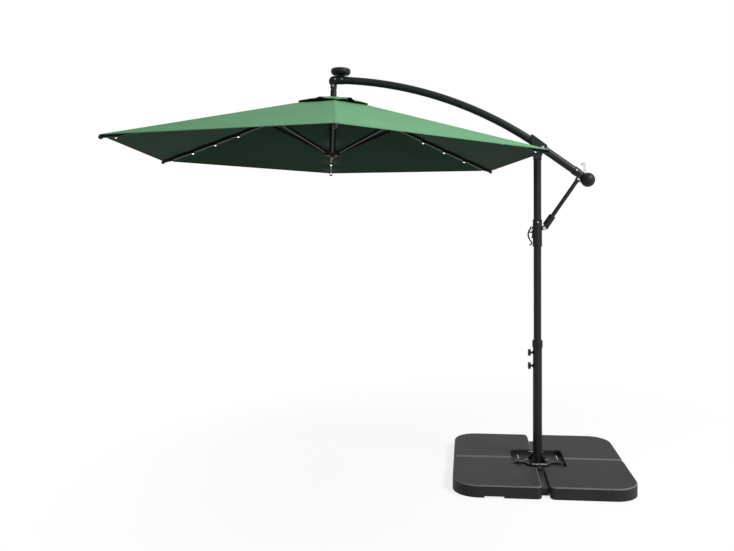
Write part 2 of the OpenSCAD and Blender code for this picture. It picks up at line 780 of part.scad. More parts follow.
// a flat lamp head on the boom's end: it holds the battery and the solar cell
module solar_lamp_housing() {
    r = solar_d / 2;
    color("#222325") translate([lamp_x, 0, lamp_z]) difference() {
        rotate_extrude($fn = 96) polygon([[0, 4.3], [24, 4.3], [r - 20, 4.8], [r - 8, 9], [r - 2, 17],
            [r, 26], [r, 36], [r - 2, 41], [r - 7, 45], [r - 16, 47], [0, 47]]);
        translate([0, 0, cell_floor]) cylinder(r = r - 18, h = 10, $fn = 96);
        translate([0, 0, 10]) cylinder(r = 36, h = cell_floor - 13);
    }
}

module solar_cell() {
    color("#1a2330") translate([lamp_x, 0, lamp_z + cell_floor + 0.1])
        cylinder(r = solar_d / 2 - 18 - HAIR, h = 3, $fn = 96);
}

// the cord from the drum, through the boom and over the pulley, to the hanger;
// a small ball closes each joint between its straight and its curved lengths
module lift_cord() {
    color("gainsboro") {
        boom_frame() {
            translate([-boom_front, 0, cord_z]) along_x(cord_d, boom_front + ball_x);
            translate([-boom_front, 0, cord_z]) sphere(d = cord_d + EPS);
            translate([-boom_front, 0, -boom_r]) rotate([90, 0, 0]) rotate([0, 0, 90])
                rotate_extrude(angle = boom_sweep, $fn = 96)
                    translate([boom_r + cord_z, 0]) circle(d = cord_d, $fn = 16);
        }
        translate([end_x, 0, end_z]) rotate([0, end_slope, 0]) {
            translate([0, 0, cord_z]) sphere(d = cord_d + EPS);
            translate([-pulley_run, 0, cord_z]) along_x(cord_d, pulley_run);
            translate([-pulley_run, 0, cord_z]) sphere(d = cord_d + EPS);
        }
        translate([pulley_x, 0, pulley_z]) rotate([90, 0, 0]) rotate([0, 0, 90 - end_slope])
            rotate_extrude(angle = 90 + end_slope) translate([cord_z, 0]) circle(d = cord_d, $fn = 16);
        translate([hang[0], 0, pulley_z]) sphere(d = cord_d + EPS);
        translate([hang[0], 0, hang[1] - 15]) cylinder(d = cord_d, h = pulley_z - hang[1] + 15);
    }
}

// ---------- winch ----------

module crank_handle() {
    arm_y = ball_d / 2 + 9;
    arm_t = 5;
    arm_w = 17;
    color("silver") translate([0, arm_y, 0]) boom_frame() translate([ball_x, 0, 0])
        rotate([0, -tail_slope - 8, 0]) {
            along_y(24, arm_t + 5);
            block([-arm_w / 2, -arm_t / 2, 0], [arm_w / 2, arm_t / 2, crank_len]);
            translate([0, 0, crank_len]) along_y(arm_w, arm_t);
            // the pin at the arm's end and the grip that turns on it
            translate([0, 35, crank_len]) along_y(7, 70);
            translate([0, 36.5, crank_len]) difference() {
                along_y(16, 62);
                along_y(7 + 2 * run, 64);
            }
            translate([0, 69.5, crank_len]) along_y(12, 3);
        }
}

module winch_drum() {
    color("gray") boom_frame() translate([ball_x, 0, 0]) {
        along_y(2 * drum_r, 30);
        for (s = [-1, 1]) translate([0, s * 14, 0]) along_y(2 * drum_r + 16, 3);
        translate([0, ball_d / 4 + 2, 0]) along_y(shaft_d, ball_d / 2 + 4);
    }
}

module cord_pulley() {
    color("gray") translate([pulley_x, 0, pulley_z]) {
        along_y(2 * pulley_r, 8);
        for (s = [-1, 1]) translate([0, s * 3.6, 0]) along_y(2 * pulley_r + 7, 2);
        along_y(6, elbow_d - 14);
    }
}

// ---------- hanger ----------

module hanger_tube() {
    top = canopy_drop + fork_r;
    floor_z = canopy_drop - 26;
    color("#222325") hanger_frame() difference() {
        union() {
            translate([0, 0, hanger_low]) cylinder(d = hanger_d, h = canopy_drop - hanger_low);
            translate([0, 0, canopy_drop]) intersection() {
                along_y(2 * fork_r, hanger_d);
                cylinder(d = hanger_d, h = 60, center = true);
            }
        }
        block([-hanger_d, -leg_y / 2 - HAIR, floor_z], [hanger_d, leg_y / 2 + HAIR, top + 1]);
        difference() {
            block([-hanger_d, -hanger_d, canopy_drop - 4], [hanger_d, hanger_d, top + 1]);
            translate([0, 0, canopy_drop]) along_y(2 * fork_r, 2 * hanger_d);
        }
        translate([0, 0, hanger_low - 1]) cylinder(d = cord_bore, h = canopy_drop);
        translate([0, 0, canopy_drop]) along_y(10 + 2 * run, 60);
    }
}

module top_hub() {
    slot_w = rib_w + 1.2;
    color("#222325") hanger_frame() difference() {
        translate([0, 0, hub_low]) cylinder(r = hub_r, h = hub_top - hub_low, $fn = 96);
        translate([0, 0, hanger_low]) cylinder(d = hanger_d + 2 * run, h = 60);
        translate([0, 0, hub_low - 1]) cylinder(d = cord_bore, h = 60);
        for (i = SIX) rotate([0, 0, canopy_turn + 60 * i]) {
            block([rib_pivot_r - rib_h / 2 - 1.5, -slot_w / 2, hub_low - 1],
                  [hub_r + 5, slot_w / 2, rib_pivot_z + rib_h / 2 + 1]);
            translate([rib_pivot_r, 0, rib_pivot_z]) along_y(pin_d + 2 * run, 26 + 2 * HAIR);
        }
    }
}

// a pyramid of cloth over the vent, with a free edge
module vent_cap() {
    hole = hanger_d / 2 + HAIR;
    lift = 12;
    edge_z = ridge_z(vent_cap_r) + lift;
    color(green) hanger_frame() rotate([0, 0, canopy_turn]) difference() {
        cap_pyramid(vent_cap_r, edge_z, cap_z + cloth_t);
        cap_pyramid(vent_cap_r + 4, edge_z - cloth_t * 1.3, cap_z);
        translate([0, 0, cap_z - 30]) cylinder(r = hole, h = 60);
    }
}

// a solid six-sided pyramid whose corners lie over the ribs, cut off flat at its top
module cap_pyramid(r, z0, z1) {
    top_r = (hub_r + 4) / cos(30);
    rim = [for (i = [0:5]) [r * cos(60 * i), r * sin(60 * i), z0]];
    top = [for (i = [0:5]) [top_r * cos(60 * i), top_r * sin(60 * i), z1]];
    low = [for (i = [0:5]) [r * cos(60 * i), r * sin(60 * i), z0 - 1]];
    polyhedron(points = concat(low, rim, top), faces = concat(
        [[0, 1, 2, 3, 4, 5]], [[17, 16, 15, 14, 13, 12]],
        [for (i = [0:5]) [i + 6, (i + 1) % 6 + 6, (i + 1) % 6, i]],
        [for (i = [0:5]) [i + 12, (i + 1) % 6 + 12, (i + 1) % 6 + 6, i + 6]]));
}

// ---------- runner ----------

// the stretchers' cross pins hook into pockets that open outwards and down
module runner_hub() {
    slot_w = stretcher_w + 2 * strap_t + 1.2;
    pocket_w = slot_w + 12;
    pocket_r = stretcher_in_r - pin_d / 2 - 0.2;
    color("#222325") hanger_frame() difference() {
        union() {
            translate([0, 0, runner_low]) cylinder(r = runner_r, h = runner_top - runner_low, $fn = 96);
            translate([0, 0, runner_low - 12]) cylinder(r1 = 18, r2 = 26, h = 12.5);
        }
        translate([0, 0, runner_low + 4]) cylinder(d = centre_d + 2 * run, h = 60);
        translate([0, 0, runner_low - 13]) cylinder(d = cord_d + 2, h = 60);
        for (i = SIX) rotate([0, 0, canopy_turn + 60 * i]) {
            block([stretcher_in_r - 10, -slot_w / 2, runner_low - 1],
                  [runner_r + 5, slot_w / 2, runner_top + 1]);
            block([pocket_r, -pocket_w / 2, runner_low - 1],
                  [runner_r + 5, pocket_w / 2, runner_z + pin_d / 2 + 0.2]);
        }
    }
}

module centre_tube() {
    color(charcoal) hanger_frame() translate([0, 0, runner_low + 4 + EPS]) difference() {
        cylinder(d = centre_d, h = hub_low - HAIR - runner_low - 4);
        translate([0, 0, -1]) cylinder(d = centre_d - 4, h = hub_low);
    }
}

// the cord from the hanger down to its knot under the runner
module drop_cord() {
    color("gainsboro") hanger_frame() {
        translate([0, 0, runner_low - 18]) cylinder(d = cord_d, h = canopy_drop - 22 - runner_low + 18);
        translate([0, 0, runner_low - 18]) sphere(d = 11);
    }
}

// ---------- ribs ----------

module rib(i) {
    far = rib_len;
    color(charcoal) rib_frame(i) {
        difference() {
            union() {
                along_y(rib_h, rib_w);
                block([0, -rib_w / 2, -rib_h / 2], [far - tip_d / 2 - 0.5, rib_w / 2, rib_h / 2]);
            }
            block([14, -rib_w / 2 + rib_wall, -rib_h / 2 + rib_wall],
                  [far, rib_w / 2 - rib_wall, rib_h / 2 - rib_wall]);
            stretcher_hole();
        }
        along_y(pin_d, 26);
        // end cap: a plug in the rib's end and a ball
        block([far - 60, -rib_w / 2 + rib_wall + 0.05, -rib_h / 2 + rib_wall + 0.05],
              [far - 6, rib_w / 2 - rib_wall - 0.05, rib_h / 2 - rib_wall - 0.05]);
        translate([far, 0, -2.5]) sphere(d = tip_d, $fn = 40);
    }
}

// the hole that a stretcher's outer pin turns in
module stretcher_hole() {
    u = (stretcher_out_r - rib_pivot_r) / cos(canopy_slope);
    translate([u, 0, 0]) along_y(pin_d + 2 * run, rib_w + 2);
}

// two straps straddle the rib, then a box tube runs to a cross pin in the runner
module stretcher(i) {
    start = 98;
    color(charcoal) stretcher_frame(i) {
        along_y(pin_d, rib_w + 2 * strap_t + 1);
        for (s = [-1, 1]) translate([0, s * (rib_w / 2 + HAIR + strap_t / 2), 0]) {
            along_y(14, strap_t);
            block([0, -strap_t / 2, -6], [strap_len, strap_t / 2, 6]);
        }
        difference() {
            block([start, -rib_w / 2 - HAIR - EPS, -stretcher_h / 2],
                  [stretcher_len - 4, rib_w / 2 + HAIR + EPS, stretcher_h / 2]);
            block([start + 8, -rib_w / 2 + 1.2, -stretcher_h / 2 + 1.2],
                  [stretcher_len - 16, rib_w / 2 - 1.2, stretcher_h / 2 - 1.2]);
        }
        translate([stretcher_len, 0, 0]) along_y(13, rib_w);
        translate([stretcher_len, 0, 0]) along_y(pin_d, stretcher_w + 2 * strap_t + 11);
    }
}

// a strip under the rib with its lamps
module lights(i) {
    u_out = (light_out_r - rib_pivot_r) / cos(canopy_slope);
    u_in = u_out - (light_count - 1) * light_pitch;
    z = -rib_h / 2;
    color("#101113") rib_frame(i) {
        block([u_in - 20, -5, z - 3], [u_out + 20, 5, z]);
        for (k = [0:light_count - 1]) translate([u_out - k * light_pitch, 0, z - light_t])
            cylinder(d = light_d, h = light_t);
    }
}

// ---------- cloth ----------

// height of the cloth at radius r along a rib's direction and t = -1 .. 1 across the gore:
// the corners of a gore lie half-way between two ribs
function cloth_z(x, t, edge) =
    ridge_z(x) - cloth_sag * (1 - pow(1 - abs(t), 2)) * sin(180 * edge);

// one gore: the cloth over one rib, out to the middle lines of the two panels beside it
module gore(i) {
    rows = 14;
    cols = 12;
    gap = 0.3;
    // a row of the net runs parallel to the rim, from middle line to middle line
    function edge(k) = k / rows;
    function ring(k) = vent_r + (canopy_r - vent_r) * edge(k);
    function point(k, j, dz) = let (
        t = 2 * j / cols - 1,
        r = ring(k),
        mid = r * cos(30),
        side = t < 0 ? -1 : 1,
        px = r + abs(t) * (mid * cos(30) - r),
        py = side * abs(t) * (mid * sin(30) - gap)
    ) [px, py, cloth_z(r, t, edge(k)) + dz];
    n = cols + 1;
    count = (rows + 1) * n;
    up = [for (k = [0:rows], j = [0:cols]) point(k, j, 0)];
    down = [for (k = [0:rows], j = [0:cols]) point(k, j, -cloth_t / cos(canopy_slope))];
    quads = [for (k = [0:rows - 1], j = [0:cols - 1]) let (a = k * n + j)
        each [[a, a + 1, a + n + 1], [a, a + n + 1, a + n]]];
    backs = [for (k = [0:rows - 1], j = [0:cols - 1]) let (a = count + k * n + j)
        each [[a + n + 1, a + 1, a], [a + n, a + n + 1, a]]];
    inner = [for (j = [0:cols - 1]) each [[j, count + j, count + j + 1], [j, count + j + 1, j + 1]]];
    outer = [for (j = [0:cols - 1]) let (a = rows * n + j)
        each [[a, a + 1, count + a + 1], [a, count + a + 1, count + a]]];
    left = [for (k = [0:rows - 1]) let (a = k * n)
        each [[a, a + n, count + a + n], [a, count + a + n, count + a]]];
    right = [for (k = [0:rows - 1]) let (a = k * n + cols)
        each [[a, count + a, count + a + n], [a, count + a + n, a + n]]];
    color(green) spoke(i)
        polyhedron(points = concat(up, down), faces = concat(quads, backs, inner, outer, left, right));
}

// ---------- nodes ----------

cross_bar_side();
cross_bar_front();
ballast_front_left();
ballast_front_right();
ballast_rear_left();
ballast_rear_right();
foot_bolts();
lower_tube();
tube_collar();
thumb_screw_upper();
thumb_screw_lower();
upper_pole();
pole_head();
head_bolt();
slider_sleeve();
slider_hardware();
brake_lever();
strut_tube();
strut_socket();
boom_tube();
winch_housing();
winch_cover();
boom_bolts();
elbow_fitting();
solar_lamp_housing();
solar_cell();
lift_cord();
crank_handle();
winch_drum();
cord_pulley();
hanger_tube();
top_hub();
vent_cap();
runner_hub();
centre_tube();
drop_cord();
for (i = SIX) rib(i);
for (i = SIX) stretcher(i);
for (i = SIX) lights(i);
for (i = SIX) gore(i);
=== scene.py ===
# %% [markdown]
# # A cantilever garden umbrella, dressed for its portrait
# The steel, the joints and the plates were drawn beforehand in a CAD program. This
# script loads them as a fixed frame, gives every piece its finish, and makes the parts
# that CAD draws plainly: the cloth, the lenses of the lights and the cord. Lengths are
# metres and +Z is up. The origin lies on the ground, under the axis of the pole.

# %% Load the frame
import json
import math

import bpy
import numpy as np
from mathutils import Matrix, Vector, noise

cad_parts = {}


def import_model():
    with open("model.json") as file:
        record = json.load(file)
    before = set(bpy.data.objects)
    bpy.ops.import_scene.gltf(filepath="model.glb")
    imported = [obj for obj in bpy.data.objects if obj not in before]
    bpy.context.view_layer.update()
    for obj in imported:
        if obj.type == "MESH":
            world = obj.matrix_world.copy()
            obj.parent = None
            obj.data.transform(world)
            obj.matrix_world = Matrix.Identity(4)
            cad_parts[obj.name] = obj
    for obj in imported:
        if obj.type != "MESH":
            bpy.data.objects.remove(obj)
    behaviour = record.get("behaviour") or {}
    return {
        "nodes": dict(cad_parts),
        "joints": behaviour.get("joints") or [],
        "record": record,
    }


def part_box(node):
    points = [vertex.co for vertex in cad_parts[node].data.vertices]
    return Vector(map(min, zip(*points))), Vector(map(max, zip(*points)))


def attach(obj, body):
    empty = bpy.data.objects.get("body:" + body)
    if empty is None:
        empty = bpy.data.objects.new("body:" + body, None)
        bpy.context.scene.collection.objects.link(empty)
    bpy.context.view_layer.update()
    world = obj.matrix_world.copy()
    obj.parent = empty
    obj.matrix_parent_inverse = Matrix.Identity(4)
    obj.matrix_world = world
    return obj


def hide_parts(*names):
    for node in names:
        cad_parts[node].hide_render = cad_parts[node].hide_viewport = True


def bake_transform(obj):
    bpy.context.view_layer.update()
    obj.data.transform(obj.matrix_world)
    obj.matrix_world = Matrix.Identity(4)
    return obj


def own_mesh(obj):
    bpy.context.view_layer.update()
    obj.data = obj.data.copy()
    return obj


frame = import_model()
scene = bpy.context.scene
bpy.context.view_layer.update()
joints = {joint["name"]: joint for joint in frame["joints"]}

# %% [markdown]
# ## The camera
# A camera is a lens and a place. This one stands in front of the umbrella at chest
# height, so it looks down on the ballast plates and up into the canopy. It is held
# level, which keeps the pole upright, and its lens is shifted a little to one side.

# %% Camera
camera_data = bpy.data.cameras.new("camera")
camera_data.lens = 33.98
camera_data.sensor_width = 36.0
camera_data.shift_x, camera_data.shift_y = -0.0586, -0.0620
camera = bpy.data.objects.new("camera", camera_data)
camera.location = (-0.4400, -4.3857, 1.4838)
camera.rotation_euler = (math.radians(90.13), 0.0, math.radians(4.69))
scene.collection.objects.link(camera)
scene.camera = camera
print("camera at", tuple(round(v, 2) for v in camera.location))

# %% [markdown]
# ## Writing materials as sums
# A material is a graph of nodes, and a graph is easier to read as arithmetic. The class
# below wraps one output of a node. Adding or multiplying two of them puts a Math node
# in the graph, so `1 - mask` is a working expression. Colours go through a Mix node,
# because a Math node would turn them grey.

# %% A node output that can be used in sums
class Flow:
    """One output of a shader node, usable in ordinary arithmetic."""

    def __init__(self, tree, socket=None):
        self.tree, self.socket = tree, socket

    def node(self, kind, settings=(), inputs=(), out=None):
        """Adds a node: its settings first, then values or links for its sockets."""
        made = self.tree.nodes.new("ShaderNode" + kind)
        for name, value in dict(settings).items():
            if name == "stops":
                elements = made.color_ramp.elements
                elements.remove(elements[1])
                elements[0].position, elements[0].color = value[0]
                for place, shade in value[1:]:
                    elements.new(place).color = shade
            else:
                setattr(made, name, value)
        for name, value in dict(inputs).items():
            if isinstance(name, int):
                socket = made.inputs[name]
            else:
                socket = next(s for s in made.inputs if s.name == name and s.enabled)
            if isinstance(value, Flow):
                self.tree.links.new(value.socket, socket)
            else:
                socket.default_value = value
        outputs = [s for s in made.outputs if s.enabled]
        found = next((s for s in outputs if s.name == out), outputs[0])
        return Flow(self.tree, found)

    def math(self, operation, first, second=0.0):
        return self.node("Math", {"operation": operation}, {0: first, 1: second})

    def __add__(self, other):
        return self.math("ADD", self, other)

    def __radd__(self, other):
        return self.math("ADD", other, self)

    def __sub__(self, other):
        return self.math("SUBTRACT", self, other)

    def __rsub__(self, other):
        return self.math("SUBTRACT", other, self)

    def __mul__(self, other):
        return self.math("MULTIPLY", self, other)

    def __rmul__(self, other):
        return self.math("MULTIPLY", other, self)

    def __truediv__(self, other):
        return self.math("DIVIDE", self, other)

    def __rtruediv__(self, other):
        return self.math("DIVIDE", other, self)

    def __pow__(self, other):
        return self.math("POWER", self, other)


print("sums of nodes are ready")

# %% [markdown]
# Most finishes need the same few helpers: a colour given as on a screen but handed to
# the shader as light, a band that is 1 in one place and 0 elsewhere, cloudy noise, and a
# colour mixed from two by a mask.

# %% Helpers for finishes
def shade(red, green, blue):
    """A screen colour from 0 to 255 as linear light."""
    def light(v):
        v /= 255
        return v / 12.92 if v <= 0.04045 else ((v + 0.055) / 1.055) ** 2.4
    return (light(red), light(green), light(blue), 1.0)


def place(flow):
    """Where a point lies on the object, in metres."""
    return flow.node("TexCoord", out="Object")


def axes(flow, vector):
    """The x, y and z of a vector, each a Flow of its own."""
    apart = flow.node("SeparateXYZ", {}, {"Vector": vector}, out="X")
    return (Flow(flow.tree, apart.socket.node.outputs[axis]) for axis in "XYZ")


def rays(flow):
    """1 for rays from the camera, for mirrored rays, and for rays through glass."""
    camera_ray = flow.node("LightPath", out="Is Camera Ray")
    outputs = camera_ray.socket.node.outputs
    return (camera_ray, Flow(flow.tree, outputs["Is Glossy Ray"]),
            Flow(flow.tree, outputs["Is Transmission Ray"]))


def stretched(flow, vector, scale):
    return flow.node("VectorMath", {"operation": "MULTIPLY"}, {0: vector, 1: scale})


def clouds(flow, vector, scale, detail=2.0, rough=0.5):
    """Soft noise from 0 to 1; scale is in features per metre."""
    return flow.node("TexNoise", {}, {"Vector": vector, "Scale": scale, "Detail": detail,
                                      "Roughness": rough}, out="Fac")


def ramp(flow, value, low, high):
    """0 below low, 1 above high, and smooth between them."""
    return flow.node("MapRange", {"interpolation_type": "SMOOTHSTEP"},
                     {"Value": value, "From Min": low, "From Max": high})


def band(flow, value, centre, half, soft):
    """1 within half of centre, falling to 0 over soft."""
    away = flow.math("ABSOLUTE", value - centre)
    return 1.0 - ramp(flow, away, half, half + soft)


def mixed(flow, mask, first, second):
    return flow.node("Mix", {"data_type": "RGBA"}, {"Factor": mask, "A": first, "B": second})


def bumped(flow, height, strength=1.0):
    """Turns a height in metres into a change of the surface's direction."""
    return flow.node("Bump", {}, {"Strength": strength, "Distance": 1.0, "Height": height})


def finish(name, build, **plain):
    """A material: plain numbers go straight to the shader, build() links what varies."""
    made = bpy.data.materials.new(name)
    made.use_nodes = True
    shader = made.node_tree.nodes["Principled BSDF"]
    for socket, value in plain.items():
        shader.inputs[socket.replace("_", " ")].default_value = value
    for socket, flow in build(Flow(made.node_tree)).items():
        made.node_tree.links.new(flow.socket, shader.inputs[socket])
    return made


print("helpers are ready")

# %% [markdown]
# ## Powder-coated steel
# The tubes are sprayed with dry powder that melts into a satin skin in an oven. Seen
# close, such a skin is faintly dimpled like orange peel, and its sheen is a little
# uneven. Fine noise gives the dimples and slow noise the unevenness.

# %% Charcoal paint
def paint(flow):
    at = place(flow)
    peel = clouds(flow, at, 700.0, 1.0)
    slow = clouds(flow, at, 9.0, 3.0)
    dust = clouds(flow, at, 160.0, 4.0, 0.7)
    paler_mask = ramp(flow, dust, 0.62, 0.80) * 0.35
    colour = mixed(flow, slow, shade(28, 29, 31), shade(37, 38, 40))
    return {
        "Base Color": mixed(flow, paler_mask, colour, shade(58, 59, 61)),
        "Roughness": 0.30 + slow * 0.10 + paler_mask * 0.2,
        "Normal": bumped(flow, peel * 0.00006),
    }


charcoal_paint = finish("charcoal_paint", paint, Specular_IOR_Level=0.2)
print("finish:", charcoal_paint.name)

# %% [markdown]
# ## Moulded plastics
# Fittings such as the sleeve, the winch and the hubs are black moulded plastic with a
# finer grain and less sheen than paint. The ballast plates are larger hollow shells of
# dark grey plastic: their tops are sparked with grain, and their skin shows slow clouds
# where it cooled unevenly. Their bevelled top edges, and the edges beside the seam, are
# painted paler: a painted highlight standing in for light caught by the edges. Both
# finishes share one recipe with different sizes.

# %% Plastics
plate_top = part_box("ballast_front_left")[1].z
# Where the plates' painted highlight lies: its depth under the top, and its distance from the seam's
# middle line.
EDGE_DOWN = 0.0038
EDGE_IN = 0.0105


def moulded(dark, pale, grain, depth, low, high, edge_highlight=None):
    """The last argument gives the height of a bevelled edge that is painted paler as a
    highlight, and how far from the middle line the same painted highlight runs beside the seam."""
    def build(flow):
        at = place(flow)
        spark = clouds(flow, at, grain, 2.0, 0.6)
        slow = clouds(flow, at, 5.0, 4.0, 0.6)
        scuff = ramp(flow, clouds(flow, stretched(flow, at, (60.0, 14.0, 60.0)), 1.0, 5.0, 0.7),
                     0.60, 0.72)
        colour = mixed(flow, slow, shade(*dark), shade(*pale))
        lifted = tuple(v + 8 for v in pale)
        colour = mixed(flow, scuff * 0.4, colour, shade(*lifted))
        if edge_highlight:
            _, aside, height = axes(flow, at)
            veins = band(flow, clouds(flow, at, 7.0, 5.0, 0.6), 0.5, 0.004, 0.014)
            colour = mixed(flow, veins * 0.35, colour, shade(*(v - 14 for v in dark)))
            # Painted highlight: the bevelled top edge and the edges beside the seam are painted paler,
            # standing in for light the edges catch.
            edge = band(flow, height, edge_highlight[0], 0.0028, 0.0006)
            seam = band(flow, flow.math("ABSOLUTE", aside), edge_highlight[1], 0.0030, 0.0020)
            paler_mask = flow.math("MAXIMUM", edge, seam) * (0.60 + slow * 0.4)
            colour = mixed(flow, paler_mask, colour, shade(*(v + 62 for v in pale)))
        return {
            "Base Color": colour,
            "Roughness": low + slow * (high - low) + scuff * 0.08,
            "Normal": bumped(flow, spark * depth),
        }
    return build


black_plastic = finish("black_plastic", moulded((26, 26, 28), (35, 35, 37), 1400.0, 0.00004,
                                                0.42, 0.52), Specular_IOR_Level=0.2)
# The ballast plates get a painted highlight along their bevelled edges and beside the seam.
ballast_plastic = finish("ballast_plastic", moulded((32, 32, 33), (45, 45, 46), 900.0, 0.00014,
                                                    0.50, 0.62, edge_highlight=(plate_top - EDGE_DOWN, EDGE_IN)),
                         Specular_IOR_Level=0.2)
lamp_plastic = finish("lamp_plastic", moulded((24, 24, 26), (32, 32, 34), 1600.0, 0.00002,
                                              0.30, 0.40))
print("finishes:", black_plastic.name, ballast_plastic.name, lamp_plastic.name)

# %% [markdown]
# ## Bright and zinc-plated steel
# Bolts, washers, the winch handle and the T-handles are plated. Bright plating is nearly
# a mirror with fine polishing lines; zinc is paler, duller and spangled.

# %% Plated steel
def bright(flow):
    at = place(flow)
    lines = clouds(flow, stretched(flow, at, (900.0, 900.0, 60.0)), 1.0, 2.0)
    haze = clouds(flow, at, 45.0, 3.0)
    return {
        "Base Color": mixed(flow, haze, shade(146, 147, 150), shade(176, 177, 180)),
        "Roughness": 0.14 + lines * 0.10 + haze * 0.05,
        "Normal": bumped(flow, lines * 0.00001),
    }


def zinc(flow):
    at = place(flow)
    spangle = flow.node("TexVoronoi", {}, {"Vector": at, "Scale": 260.0}, out="Color")
    grey = flow.node("RGBToBW", {}, {"Color": spangle})
    return {
        "Base Color": mixed(flow, grey, shade(178, 180, 183), shade(208, 209, 211)),
        "Roughness": 0.30 + grey * 0.16,
        "Normal": bumped(flow, clouds(flow, at, 500.0) * 0.00003),
    }


bright_steel = finish("bright_steel", bright, Metallic=1.0)
zinc_steel = finish("zinc_steel", zinc, Metallic=1.0)
print("finishes:", bright_steel.name, zinc_steel.name)

# %% [markdown]
# ## The solar cell
# The cell on the lamp housing is dark blue silicon under glass, crossed by hair-thin
# silver lines. A smooth clear coat over a dark blue ground gives the depth of the glass.

# %% Solar glass
cell_low, cell_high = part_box("solar_cell")
cell_mid = (cell_low + cell_high) / 2


def silicon(flow):
    x, y, _ = axes(flow, place(flow))
    fingers = band(flow, flow.math("PINGPONG", y - cell_mid.y, 0.002), 0.0, 0.0001, 0.0002)
    bars = band(flow, flow.math("PINGPONG", x - cell_mid.x, 0.013), 0.0, 0.0005, 0.0004)
    lines = flow.math("MAXIMUM", fingers * 0.35, bars * 0.8)
    crystal = clouds(flow, place(flow), 120.0, 3.0)
    ground = mixed(flow, crystal, shade(16, 22, 40), shade(28, 38, 66))
    return {
        "Base Color": mixed(flow, lines, ground, shade(120, 124, 132)),
        "Roughness": 0.22 + lines * 0.2,
    }


solar_glass = finish("solar_glass", silicon, Coat_Weight=1.0, Coat_Roughness=0.03)
print("finish:", solar_glass.name)

# %% [markdown]
# ## Canopy cloth
# The canopy is woven polyester, cut in six panels with their threads parallel to the
# rim, felled together along the ribs and hemmed all round. Each cloth mesh below
# carries three numbers at every point: how far it is from its rib, from the rim, and
# along the rib. Sines of them make the weave, and bands of them make the seam, the hem
# and the two rows of stitches. A fourth number says how strongly the nearest lens's
# painted glow lies on the underside: painted light from below. The underside's colour is
# the top's colour painted darker: painted shade.

# %% Cloth
def woven(pale, deep, thread, painted_lens_glow=False):
    def build(flow):
        across = flow.node("Attribute", {"attribute_name": "across"}, out="Fac")
        rim = flow.node("Attribute", {"attribute_name": "from_rim"}, out="Fac")
        edge = flow.node("Attribute", {"attribute_name": "along_rim"}, out="Fac")
        turns = 2 * math.pi / thread
        warp = flow.math("SINE", edge * turns)
        weft = flow.math("SINE", rim * turns)
        weave = warp * weft
        slubs = clouds(flow, flow.node("CombineXYZ", {}, {"X": edge * 2.5, "Y": rim * 140.0}),
                       1.0, 4.0, 0.65)
        cloudy = clouds(flow, place(flow), 3.0, 3.0)
        off = flow.math("ABSOLUTE", across)
        seam = 1.0 - ramp(flow, off, 0.0055, 0.0075)
        hem = 1.0 - ramp(flow, rim, 0.0235, 0.0255)
        dashes = ramp(flow, flow.math("SINE", edge * (2 * math.pi / 0.005)), -0.3, 0.2)
        rows = flow.math("MAXIMUM", band(flow, off, 0.0045, 0.0003, 0.0004),
                         band(flow, rim, 0.0215, 0.0003, 0.0004))
        runs = ramp(flow, flow.math("SINE", (rim + across * 0.2) * (2 * math.pi / 0.005)),
                    -0.3, 0.2)
        stitch = rows * flow.math("MAXIMUM", dashes * hem, runs * seam)
        ground = mixed(flow, slubs * 0.55 + cloudy * 0.45, shade(*deep), shade(*pale))
        fold = flow.math("MAXIMUM", seam * 0.18, hem * 0.22)
        colour = mixed(flow, fold, ground, shade(*[v * 0.75 for v in deep]))
        raised = (weave * 0.00003 + slubs * 0.00025 + flow.math("MAXIMUM", seam, hem) * 0.0006
                  - stitch * 0.0004)
        made = {
            "Base Color": mixed(flow, stitch * 0.5, colour, shade(*[v * 0.6 for v in deep])),
            "Roughness": 0.78 + weave * 0.06,
            "Normal": bumped(flow, raised, 0.7),
        }
        # Painted light: the underside glows around each lens, a painted pool of the lens's light on the
        # cloth.
        if painted_lens_glow:
            glow = flow.node("Attribute", {"attribute_name": "glow"}, out="Fac")
            made["Emission Color"] = mixed(flow, glow, (0.0, 0.0, 0.0, 1.0), shade(48, 52, 49))
        return made
    return build


cloth_top = finish("cloth_top", woven((107, 162, 121), (89, 142, 101), 0.0011),
                   Specular_IOR_Level=0.06)
# The underside is the same cloth painted darker: painted shade for the shadow under the canopy.
cloth_under_painted_shade = finish("cloth_under_painted_shade", woven((34, 60, 42), (27, 51, 34), 0.0011, painted_lens_glow=True),
                     Specular_IOR_Level=0.06, Emission_Strength=1.0)
print("finishes:", cloth_top.name, cloth_under_painted_shade.name)

# %% [markdown]
# ## Cord and lenses
# The lift cord is braided from thin strands: two sets of stripes that cross as they
# climb. The lenses glow: the light is strong at the diode in the middle and fades
# towards the edge, and each lens mesh carries that distance as a number.

# %% Braid and glow
def braid(flow):
    x, y, z = axes(flow, place(flow))
    right = flow.math("SINE", (z + (x + y) * 0.8) * 3000.0)
    left = flow.math("SINE", (z - (x + y) * 0.8) * 3000.0)
    strands = right * left
    return {
        "Base Color": mixed(flow, strands * 0.5 + 0.5, shade(176, 175, 170), shade(218, 217, 212)),
        "Roughness": 0.82 - strands * 0.05,
        "Normal": bumped(flow, strands * 0.0001),
    }


def glowing(flow):
    reach = flow.node("Attribute", {"attribute_name": "reach"}, out="Fac")
    core = 1.0 - ramp(flow, reach, 0.25, 0.70)
    halo = 1.0 - ramp(flow, reach, 0.50, 1.0)
    glow = mixed(flow, halo, shade(8, 9, 12), shade(42, 48, 58))
    return {
        "Base Color": mixed(flow, core, shade(120, 124, 130), shade(225, 230, 238)),
        "Emission Color": mixed(flow, core, glow, (1.0, 1.0, 1.0, 1.0)),
        "Roughness": 0.16 + reach * 0.1,
    }


cord_braid = finish("cord", braid)
lens_glow = finish("lens_glow", glowing, Emission_Strength=6.0, Coat_Weight=0.6)
print("finishes:", cord_braid.name, lens_glow.name)

